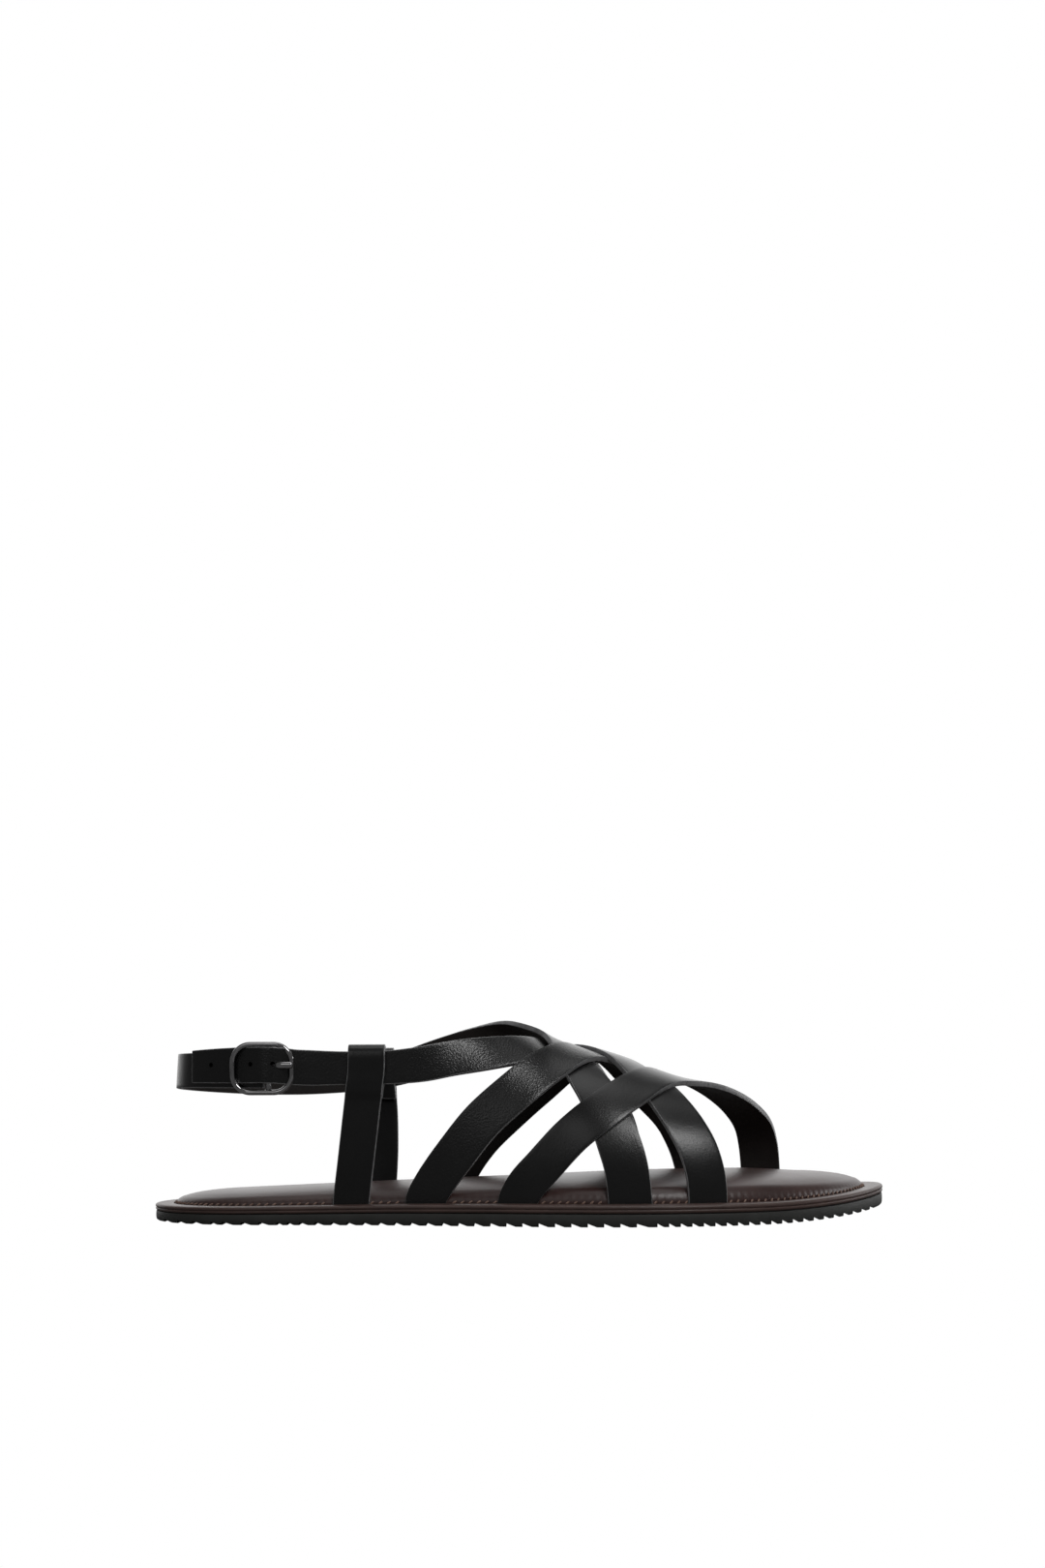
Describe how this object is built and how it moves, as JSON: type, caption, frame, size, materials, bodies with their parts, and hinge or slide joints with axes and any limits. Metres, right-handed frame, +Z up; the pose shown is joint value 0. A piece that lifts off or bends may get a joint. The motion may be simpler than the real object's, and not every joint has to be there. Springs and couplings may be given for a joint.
{
  "type": "strappy sandal",
  "caption": "Right strappy sandal: woven leather straps, buckled ankle strap on T-bars, padded footbed, wrapped midsole and lugged rubber outsole.",
  "frame": {"origin": "middle of the sole's outline box, on the floor that the sole stands on", "axes": "+X from heel to toe, +Y to the inner side of the foot, +Z up"},
  "size_m": [0.2944, 0.1052, 0.0789],
  "materials": {
    "outsole_rubber": "moulded black rubber, matte",
    "wrap_leather": "dark reddish brown leather, smooth, soft sheen",
    "footbed_leather": "dark reddish brown padded leather, smooth, stitched near its edge",
    "strap_leather": "black leather, fine grain, half gloss, cut edges",
    "buckle_metal": "gunmetal plating, polished"
  },
  "bodies": {
    "root": {"outsole": "outsole_rubber", "midsole": "wrap_leather", "footbed": "footbed_leather", "upper": "strap_leather", "tbar_outer": "strap_leather", "tbar_inner": "strap_leather", "buckle_frame": "buckle_metal", "buckle_prong": "buckle_metal"}
  },
  "joints": []
}
